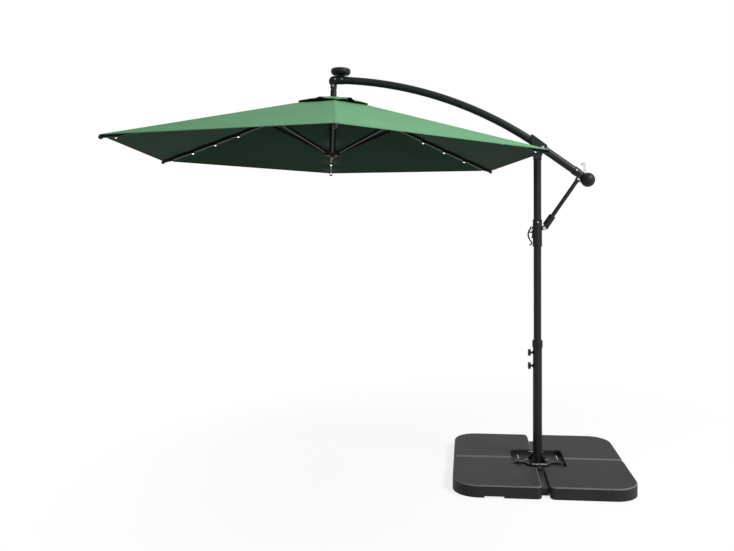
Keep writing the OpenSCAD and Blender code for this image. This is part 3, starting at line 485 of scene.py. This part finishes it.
# %% [markdown]
# ## Dressing the steel and the plastic
# The record names a finish for every piece. The pieces come in with hard edges, while
# real ones are rolled, cast or sanded, and a thin highlight runs along each edge. A Weld
# modifier joins the doubled points, and a Bevel rounds the edges without moving any.

# %% Give every piece its finish and soft edges
finishes = {
    "charcoal_paint": charcoal_paint, "black_plastic": black_plastic,
    "ballast_plastic": ballast_plastic, "bright_steel": bright_steel,
    "zinc_steel": zinc_steel, "cloth": cloth_top, "cord": cord_braid,
    "solar_glass": solar_glass, "lamp_plastic": lamp_plastic,
}
slots = {part["node"]: part["material_slot"] for part in frame["record"]["subparts"]}


def soften(piece, width):
    weld = piece.modifiers.new("weld", "WELD")
    weld.merge_threshold = 0.00002
    bevel = piece.modifiers.new("edges", "BEVEL")
    bevel.width, bevel.segments = width, 2
    bevel.limit_method, bevel.angle_limit = "ANGLE", math.radians(34)
    bevel.use_clamp_overlap = True
    normals = piece.modifiers.new("shading", "WEIGHTED_NORMAL")
    normals.keep_sharp = False
    normals.weight = 60


for name, piece in frame["nodes"].items():
    piece.data.materials.clear()
    piece.data.materials.append(finishes[slots[name]])
    if slots[name] not in ("cloth", "cord"):
        soften(piece, 0.0012 if slots[name] == "ballast_plastic" else 0.0005)
print("finished", len(frame["nodes"]), "pieces")

# %% [markdown]
# ## Measuring the canopy
# The cloth has to lie over the ribs wherever the frame holds them, so its measures are
# taken from the frame. The six rib pivots give the middle and the tilt of the canopy,
# and the plain cloth solid of the first gore gives the height of the ridge over its rib,
# at the vent and at the rim.

# %% Middle, tilt and ridge
SIX = range(1, 7)
pivots = [Vector(joints[f"rib_{i}_fold"]["pos_m"]) for i in SIX]
middle = sum(pivots, Vector()) / 6
up = (pivots[0] - middle).cross(pivots[1] - middle).normalized()
if up.z < 0:
    up.negate()
outward = [(p - middle).normalized() for p in pivots]


def local(i, points):
    """Points in the frame of rib i: outwards, sideways and up from the middle."""
    rib_out = outward[i - 1]
    basis = np.array([rib_out, up.cross(rib_out), up])
    return (np.asarray(points) - np.array(middle)) @ basis.T


def world(i, points):
    rib_out = outward[i - 1]
    basis = np.array([rib_out, up.cross(rib_out), up])
    return np.asarray(points) @ basis + np.array(middle)


def corners_of(name):
    return np.array([v.co for v in frame["nodes"][name].data.vertices])


cloth_points = local(1, corners_of("gore_1"))
rim_r = cloth_points[:, 0].max()
on_ridge = cloth_points[np.abs(cloth_points[:, 1]) < 1e-4]
rim_z = on_ridge[on_ridge[:, 0] > rim_r - 0.001][:, 2].max()
vent_r = on_ridge[:, 0].min()
vent_z = on_ridge[on_ridge[:, 0] < vent_r + 0.001][:, 2].max()
slope = (vent_z - rim_z) / (rim_r - vent_r)
print(f"canopy: rim at {rim_r:.3f} m, vent at {vent_r:.3f} m, slope {slope:.3f}")

# %% [markdown]
# ## The cloth as one surface
# On the real umbrella the six panels are sewn into one skin. Here it is one height
# function over the whole canopy: a straight ridge over each rib, a shallow sag
# between, and slow ripples where the tension varies. Because the ribs fold, the skin is
# then cut half-way between them into six pieces, one on each rib. Neighbours share
# their points and their surface direction along the cut, so the skin looks whole.

# %% The height of the skin
SAG = 0.009
HALF = math.cos(math.radians(30))


def folded(x, y):
    """A point turned into the sector of its nearest rib."""
    angle = math.atan2(y, x)
    turn = round(angle / math.radians(60)) * math.radians(60)
    c, s = math.cos(turn), math.sin(turn)
    return x * c + y * s, abs(y * c - x * s)


def skin(x, y):
    """Height of the skin over the point (x, y) of rib 1's frame."""
    px, py = folded(x, y)
    ring = px + py * math.tan(math.radians(30))
    side = py / (HALF * 0.5 * ring)
    edge = min(1.0, max(0.0, (ring - vent_r) / (rim_r - vent_r)))
    dip = SAG * (1 - (1 - min(side, 1.0)) ** 2) * math.sin(math.pi * edge)
    calm = math.sin(math.pi * edge) * min(1.0, side * 1.6)
    ripple = noise.noise(Vector((x * 2.6, y * 2.6, 0.3))) * 0.0045
    ripple += noise.noise(Vector((ring * 3.0, py * 11.0, 2.7))) * 0.0016
    return rim_z + slope * (rim_r - ring) - dip + ripple * calm


def lean(x, y, step=0.004):
    """The direction in which the skin faces at (x, y)."""
    dx = (skin(x + step, y) - skin(x - step, y)) / (2 * step)
    dy = (skin(x, y + step) - skin(x, y - step)) / (2 * step)
    return Vector((-dx, -dy, 1.0)).normalized()


print(f"height of the skin at the vent {skin(vent_r, 0):.3f} m, at the rim {skin(rim_r, 0):.3f} m")

# %% [markdown]
# A cloth mesh is built from numbers: a grid of points on top, the same grid a cloth's
# thickness below, and a strip that closes the edge. The lower grid drops a second
# thickness along the rim, where the hem is turned under and sewn.

# %% Build a closed sheet from a grid
def sheet_mesh(name, top, under, facing, marks, materials):
    """top and under: rows x columns x 3 points; facing: the same shape; marks: numbers."""
    rows, columns = top.shape[:2]
    count = rows * columns
    points = np.concatenate([top.reshape(-1, 3), under.reshape(-1, 3)])
    def at(r, c):
        return r * columns + c
    faces, skins = [], []
    for r in range(rows - 1):
        for c in range(columns - 1):
            quad = [at(r, c), at(r + 1, c), at(r + 1, c + 1), at(r, c + 1)]
            faces += [quad, [count + k for k in reversed(quad)]]
            skins += [0, 1]
    loop = ([at(0, c) for c in range(columns)] + [at(r, columns - 1) for r in range(1, rows)]
            + [at(rows - 1, c) for c in range(columns - 2, -1, -1)]
            + [at(r, 0) for r in range(rows - 2, 0, -1)])
    for a, b in zip(loop, loop[1:] + loop[:1]):
        faces.append([a, b, count + b, count + a])
        skins.append(0)
    mesh = bpy.data.meshes.new(name)
    mesh.from_pydata([tuple(p) for p in points], [], faces)
    for material in materials:
        mesh.materials.append(material)
    mesh.polygons.foreach_set("material_index", skins)
    mesh.polygons.foreach_set("use_smooth", [True] * len(faces))
    for key, values in marks.items():
        layer = mesh.attributes.new(key, "FLOAT", "POINT")
        layer.data.foreach_set("value", np.tile(values.ravel(), 2).astype(np.float32))
    mesh.update()
    grid_loops = 8 * (rows - 1) * (columns - 1)
    normals = np.zeros((len(mesh.loops), 3))
    face_of = np.repeat(np.arange(len(faces)), [len(f) for f in faces])
    plain = np.array([p.normal for p in mesh.polygons])
    both = np.concatenate([facing.reshape(-1, 3), -facing.reshape(-1, 3)])
    vertex_of = np.array([loop.vertex_index for loop in mesh.loops])
    normals[:grid_loops] = both[vertex_of[:grid_loops]]
    normals[grid_loops:] = plain[face_of[grid_loops:]]
    mesh.normals_split_custom_set(normals.tolist())
    made = bpy.data.objects.new(name, mesh)
    scene.collection.objects.link(made)
    return made


print("sheets can be built")

# %% [markdown]
# Each of the six pieces has its columns closer together near the rib, where the skin
# turns over the ridge, and an extra row where the hem begins.

# %% The six gores
CLOTH = 0.0012
HEM = 0.024
columns_t = np.concatenate([[-1 + k / 16 for k in range(16)], [0.0], [(k + 1) / 16 for k in range(16)]])
columns_t = np.sign(columns_t) * np.abs(columns_t) ** 1.25
rings = np.concatenate([np.linspace(vent_r, rim_r - HEM / HALF - 0.004, 30),
                        [rim_r - HEM / HALF - 0.001, rim_r - HEM / HALF, rim_r - 0.5 * HEM / HALF,
                         rim_r]])
turn_to = [math.radians(60 * (i - 1)) for i in SIX]
order = 1 if (up.cross(outward[0])).dot(outward[1]) > 0 else -1
gores = {}
for i in SIX:
    shape = (len(rings), len(columns_t))
    top, facing = np.zeros(shape + (3,)), np.zeros(shape + (3,))
    marks = {key: np.zeros(shape) for key in ("across", "from_rim", "along_rim")}
    c, s = math.cos(order * turn_to[i - 1]), math.sin(order * turn_to[i - 1])
    for r, ring in enumerate(rings):
        for k, t in enumerate(columns_t):
            x = ring * (1 - 0.25 * abs(t))
            y = t * ring * HALF * 0.5
            # the same place as seen from rib 1, so that all pieces cut one skin
            gx, gy = x * c - y * s, x * s + y * c
            top[r, k] = (x, y, skin(gx, gy))
            n = lean(gx, gy)
            facing[r, k] = (n.x * c + n.y * s, n.y * c - n.x * s, n.z)
            marks["across"][r, k] = y
            marks["from_rim"][r, k] = (rim_r - ring) * HALF
            marks["along_rim"][r, k] = abs(t) * ring * 0.5 - ring * 0.5
    thick = np.where(marks["from_rim"] < HEM + 0.0001, 2 * CLOTH, CLOTH)
    under = top.copy()
    under[..., 2] -= thick * 1.02
    basis = np.array([outward[i - 1], up.cross(outward[i - 1]), up])
    gore = sheet_mesh(f"canopy_cloth_{i}", world(i, top), world(i, under), facing @ basis,
                      marks, (cloth_top, cloth_under_painted_shade))
    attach(gore, f"rib_{i}")
    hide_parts(f"gore_{i}")
    gores[i] = gore
print("gores:", len(gores), "with", len(gores[1].data.polygons), "faces each")

# %% [markdown]
# A gore here is the kite between the middle lines of two panels: its slant and its flat
# length along the rib follow from the slope, and it is held stretched over its rib. Each
# gore gets a mesh of its own.

# %% Measure the gores and give each its own mesh
slant = math.sqrt(1 + (slope / HALF) ** 2)
flat_long = (rim_r - vent_r) * math.sqrt(1 + slope ** 2)
for i, gore in gores.items():
    side = up.cross(outward[i - 1]).normalized()
    tuple(pivots[i - 1])
    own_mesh(gore)

# %% [markdown]
# ## The cap over the vent
# Wind escapes through a hole at the crown, under a second small canopy that is sewn
# only at its top. Its free hem lies low over the ribs, lifts between them and ripples,
# and the dark gap beneath it shows. It is made like the gores, in rings round the
# hanger.

# %% Vent cap
cap_points = local(1, corners_of("vent_cap"))
reach = np.hypot(cap_points[:, 0], cap_points[:, 1])
cap_r = reach.max()
cap_hole = reach.min() + 0.0004
cap_top = cap_points[:, 2].max()
cap_low = cap_points[reach > cap_r - 0.002][:, 2].max()
flat_r = float(np.sort(reach[cap_points[:, 2] > cap_top - 0.0004])[-1])


def hexed(angle):
    """How far a hexagon reaches in this direction, as a share of its corner."""
    part = (angle + math.radians(30)) % math.radians(60) - math.radians(30)
    return HALF / math.cos(math.radians(30) - abs(part))


steps = 144
cap_rings = [cap_hole, 0.5 * (cap_hole + flat_r * HALF), flat_r * HALF - 0.001]
cap_rings += list(np.linspace(flat_r * HALF + 0.004, cap_r, 20))
shape = (len(cap_rings), steps + 1)
top, marks = np.zeros(shape + (3,)), {k: np.zeros(shape) for k in ("across", "from_rim", "along_rim")}
for r, ring in enumerate(cap_rings):
    spread = min(1.0, max(0.0, (ring - flat_r * HALF) / (cap_r - flat_r * HALF)))
    for k in range(steps + 1):
        angle = 2 * math.pi * k / steps
        far = 1 + (hexed(angle) - 1) * min(1.0, spread * 4) if ring > flat_r * HALF else 1.0
        part = (angle + math.radians(30)) % math.radians(60) - math.radians(30)
        between = (abs(part) / math.radians(30)) ** 1.3
        lift = 0.015 * between * spread ** 1.6
        wave = 0.0070 * math.sin(angle * 9 + 1.2) + 0.0040 * math.sin(angle * 21 + 0.4)
        z = cap_top + (cap_low - cap_top) * spread + lift + wave * spread ** 2 * between ** 0.8
        z += 0.004 * math.sin(math.pi * spread)
        top[r, k] = (ring * far * math.cos(angle), ring * far * math.sin(angle), z)
        marks["across"][r, k] = ring * math.sin(part)
        marks["from_rim"][r, k] = (cap_r - ring) * HALF
        marks["along_rim"][r, k] = ring * abs(part)
under = top.copy()
under[..., 2] -= np.where(marks["from_rim"] < 0.014, 2 * CLOTH, CLOTH)
across_r = np.gradient(top, axis=0)
round_r = np.gradient(top, axis=1)
round_r[:, 0] = round_r[:, -1] = top[:, 1] - top[:, -2]
facing = np.cross(across_r, round_r)
facing /= np.linalg.norm(facing, axis=2, keepdims=True)
facing *= np.sign(facing[..., 2:3])
basis = np.array([outward[0], up.cross(outward[0]), up])
cap = sheet_mesh("vent_cap_cloth", world(1, top), world(1, under), facing @ basis, marks,
                 (cloth_top, cloth_under_painted_shade))
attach(cap, "hanger")
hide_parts("vent_cap")
print(f"vent cap: {2 * cap_r:.3f} m across, hem {cap_low * 1000:.0f} mm over the pivots")

# %% [markdown]
# ## The lights under the ribs
# Four round lamps are clipped under every rib. Each has a clear lens, slightly domed,
# with a diode in its middle. The lamps' places are read from the frame: the lowest
# points of each light strip lie on the lamps' faces, in four groups along the rib. Each
# lens also writes on the gore above it how strongly a painted glow lies there: painted
# light that stands in for the lamp lighting the cloth.

# %% Lenses
LENS_R = 0.0105
LENS_RISE = 0.0035
PAINTED_GLOW_REACH = 0.055


def lens_mesh(name, centres, along, aside, down, radius, height):
    verts, faces, far = [], [], []
    circles, around = 7, 24
    for centre in centres:
        first = len(verts)
        verts.append(centre + down * height)
        far.append(0.0)
        for ring in range(1, circles + 1):
            share = ring / circles
            for k in range(around):
                a = 2 * math.pi * k / around
                out = (along * math.cos(a) + aside * math.sin(a)) * radius * share
                verts.append(centre + out + down * (height * math.cos(share * math.pi / 2) + 0.0001))
                far.append(share)
        for k in range(around):
            faces.append((first, first + 1 + (k + 1) % around, first + 1 + k))
        for ring in range(circles - 1):
            a0, b0 = first + 1 + ring * around, first + 1 + (ring + 1) * around
            for k in range(around):
                n = (k + 1) % around
                faces.append((a0 + k, a0 + n, b0 + n, b0 + k))
        faces.append(tuple(first + 1 + (circles - 1) * around + k for k in range(around)))
    mesh = bpy.data.meshes.new(name)
    mesh.from_pydata([tuple(v) for v in verts], [], faces)
    mesh.polygons.foreach_set("use_smooth", [len(f) < 10 for f in faces])
    layer = mesh.attributes.new("reach", "FLOAT", "POINT")
    layer.data.foreach_set("value", far)
    mesh.materials.append(lens_glow)
    mesh.update()
    made = bpy.data.objects.new(name, mesh)
    scene.collection.objects.link(made)
    return made


tilt = math.atan(slope)
for i in SIX:
    out = outward[i - 1]
    along = (out * math.cos(tilt) - up * math.sin(tilt)).normalized()
    down = -(out * math.sin(tilt) + up * math.cos(tilt)).normalized()
    aside = along.cross(down)
    seen = corners_of(f"lights_{i}") - np.array(pivots[i - 1])
    depth = seen @ np.array(down)
    face = depth.max()
    run = np.sort(seen[depth > face - 0.0002] @ np.array(along))
    groups = np.split(run, np.where(np.diff(run) > 0.05)[0] + 1)
    centres = [pivots[i - 1] + along * float((g.min() + g.max()) / 2) + down * float(face)
               for g in groups]
    lenses = lens_mesh(f"lenses_{i}", centres, along, aside, down, LENS_R, LENS_RISE)
    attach(lenses, f"rib_{i}")
    # The glow written on the cloth is painted light: how brightly the cloth near each lens is painted as
    # lit by it.
    cloth = gores[i].data
    spots = np.array([v.co for v in cloth.vertices])
    near = np.min([np.linalg.norm(spots - np.array(c), axis=1) for c in centres], axis=0)
    layer = cloth.attributes.new("glow", "FLOAT", "POINT")
    layer.data.foreach_set("value", np.exp(-((near / PAINTED_GLOW_REACH) ** 2)))
print("lenses:", len(centres), "on each rib")

# %% [markdown]
# ## The cord inside the centre tube
# The lift cord drops through the hanger and ends in a knot under the runner. It only
# shows when the canopy is lowered. The knot is fixed to the runner.

# %% Drop cord
runner_axis = -Vector(joints["runner_drop"]["axis"]).normalized()
cord_cad = corners_of("drop_cord")
heights = (cord_cad - np.array(middle)) @ np.array(runner_axis)
foot = middle + runner_axis * float(heights.min())
head = middle + runner_axis * float(heights.max())
knot_at = foot + runner_axis * 0.0055
around, turns_of = 12, 60
line = [knot_at + (head - knot_at) * (k / turns_of) for k in range(turns_of + 1)]
side_a = runner_axis.orthogonal().normalized()
side_b = runner_axis.cross(side_a)
verts, faces = [], []
for k, point in enumerate(line):
    for a in range(around):
        angle = 2 * math.pi * a / around
        radius = 0.0020 if 0 < k < turns_of else 0.0008
        verts.append(point + (side_a * math.cos(angle) + side_b * math.sin(angle)) * radius)
for k in range(turns_of):
    for a in range(around):
        b = (a + 1) % around
        faces.append((k * around + a, k * around + b, (k + 1) * around + b, (k + 1) * around + a))
faces.append(tuple(range(around - 1, -1, -1)))
faces.append(tuple(turns_of * around + a for a in range(around)))
mesh = bpy.data.meshes.new("drop_cord_braid")
mesh.from_pydata([tuple(v) for v in verts], [], faces)
mesh.polygons.foreach_set("use_smooth", [True] * len(faces))
mesh.materials.append(cord_braid)
drop = bpy.data.objects.new("drop_cord_braid", mesh)
scene.collection.objects.link(drop)
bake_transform(drop)
print(f"drop cord: {(head - foot).length:.3f} m")

# %% The knot under the runner
knot_curve = bpy.data.curves.new("drop_cord_knot", "CURVE")
knot_curve.dimensions = "3D"
knot_curve.bevel_depth = 0.0019
knot_curve.bevel_resolution = 3
spline = knot_curve.splines.new("POLY")
knot_points = []
for k in range(64):
    a = 2 * math.pi * k / 64
    wide = 0.0024 + 0.0013 * math.cos(3 * a)
    knot_points.append(knot_at + side_a * wide * math.cos(2 * a) + side_b * wide * math.sin(2 * a)
                       + runner_axis * 0.0022 * math.sin(3 * a))
spline.points.add(len(knot_points) - 1)
for point, at in zip(spline.points, knot_points):
    point.co = (*at, 1.0)
spline.use_cyclic_u = True
knot = bpy.data.objects.new("drop_cord_knot", knot_curve)
knot.data.materials.append(cord_braid)
scene.collection.objects.link(knot)
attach(knot, "runner")
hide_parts("drop_cord")
print("knot tied under the runner")

# %% [markdown]
# ## Floor, world and lamps
# The umbrella stands on a pale floor in a white room. The camera sees the floor mostly
# as plain white with the object's own soft shadow in it, and so do mirrored rays; all
# other rays see a quieter grey, so the floor doesn't flood the canopy's underside.

# %% Floor
bpy.ops.mesh.primitive_plane_add(size=60, location=(0, 0, -0.0006))
floor = bpy.context.object
floor.name = "floor"
floor_paint = bpy.data.materials.new("floor")
floor_paint.use_nodes = True
tree = floor_paint.node_tree
tree.nodes.clear()
flow = Flow(tree)
seen, glossy, clear = rays(flow)
shown = flow.math("MAXIMUM", flow.math("MAXIMUM", seen, glossy), clear)
gap = flow.node("VectorMath", {"operation": "DISTANCE"}, {0: place(flow), 1: (-0.1, 0.0, 0.0)},
                out="Value")
fade = ramp(flow, gap, 1.0, 3.0)
quiet, bare = (0.42, 0.42, 0.42, 1.0), (0.9, 0.9, 0.9, 1.0)
pale = flow.node("BsdfDiffuse", {}, {"Color": mixed(flow, shown, quiet, bare)})
white = flow.node("Emission", {}, {"Color": (1.0, 1.0, 1.0, 1.0), "Strength": 1.0})
blended = flow.node("MixShader", {}, {0: shown * (0.80 + fade * 0.20), 1: pale, 2: white})
output = tree.nodes.new("ShaderNodeOutputMaterial")
tree.links.new(blended.socket, output.inputs["Surface"])
floor.data.materials.append(floor_paint)
print("floor laid")

# %% World and lamps
room = bpy.data.worlds.new("room")
scene.world = room
room.use_nodes = True
tree = room.node_tree
flow = Flow(tree)
seen, glossy, clear = rays(flow)
shown = flow.math("MAXIMUM", seen, clear)
sky = tree.nodes["Background"]
level = flow.math("MAXIMUM", 0.24 + glossy * 0.40, shown)
tree.links.new(level.socket, sky.inputs["Strength"])
sky.inputs["Color"].default_value = (1.0, 1.0, 1.0, 1.0)


def lamp(name, at, aim, size, watts):
    data = bpy.data.lights.new(name, "AREA")
    data.shape, data.size, data.energy = "DISK", size, watts
    made = bpy.data.objects.new(name, data)
    made.location = at
    made.rotation_euler = (Vector(aim) - Vector(at)).to_track_quat("-Z", "Y").to_euler()
    scene.collection.objects.link(made)
    return made


lamp("key", (4.2, -2.9, 5.6), (-0.3, 0.0, 1.6), 3.0, 550)
lamp("fill", (-3.4, -2.8, 5.2), (-0.6, 0.0, 1.4), 3.0, 10)
lamp("front", (1.6, -6.0, 1.8), (0.1, 0.0, 0.6), 2.4, 26)
lamp("back", (-1.0, 4.4, 5.6), (-0.8, 0.0, 2.2), 5.0, 95)
scene.view_settings.view_transform = "Standard"
